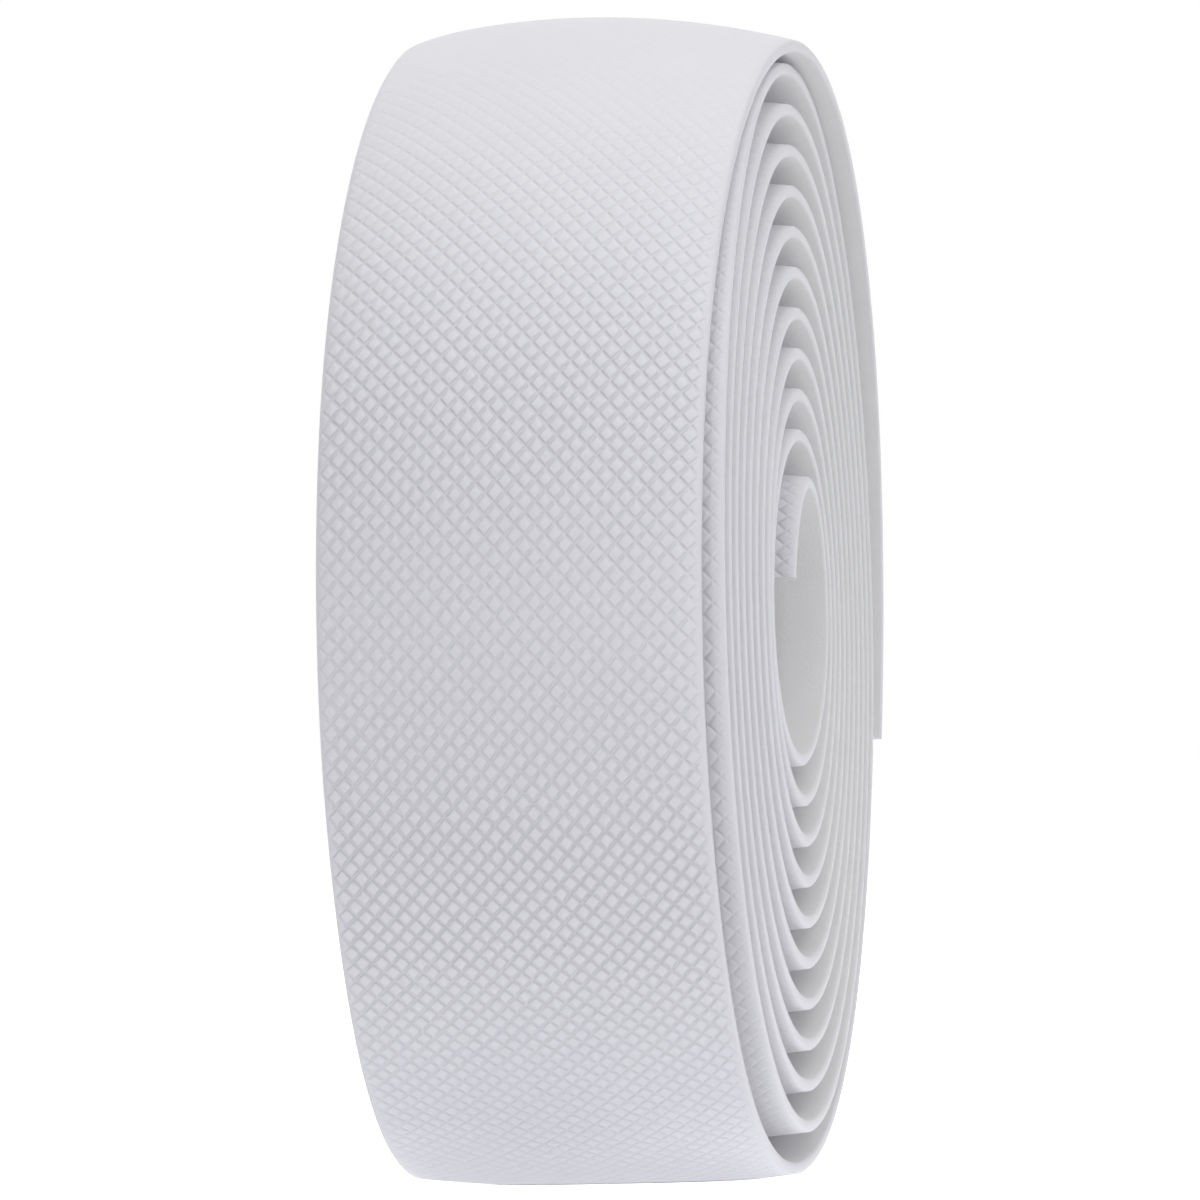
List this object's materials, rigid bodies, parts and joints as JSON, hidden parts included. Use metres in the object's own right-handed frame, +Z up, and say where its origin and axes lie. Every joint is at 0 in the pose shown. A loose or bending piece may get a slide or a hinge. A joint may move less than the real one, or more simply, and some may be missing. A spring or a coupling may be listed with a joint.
{
  "type": "handlebar tape roll",
  "caption": "Roll of padded handlebar tape: one strip with skived rims, wound in an open spiral with no core, standing on its rim.",
  "frame": {"origin": "middle of the roll's bounding box, on the surface it stands on", "axes": "+X along the roll's axis towards the open spiral side that the picture shows; the strip is wound over the top towards -Y; +Z up"},
  "size_m": [0.033, 0.0946, 0.0929],
  "materials": {
    "tape": "white polyurethane skin embossed with small diamonds over soft foam, satin"
  },
  "bodies": {
    "root": {"handlebar_tape": "tape"}
  },
  "joints": []
}
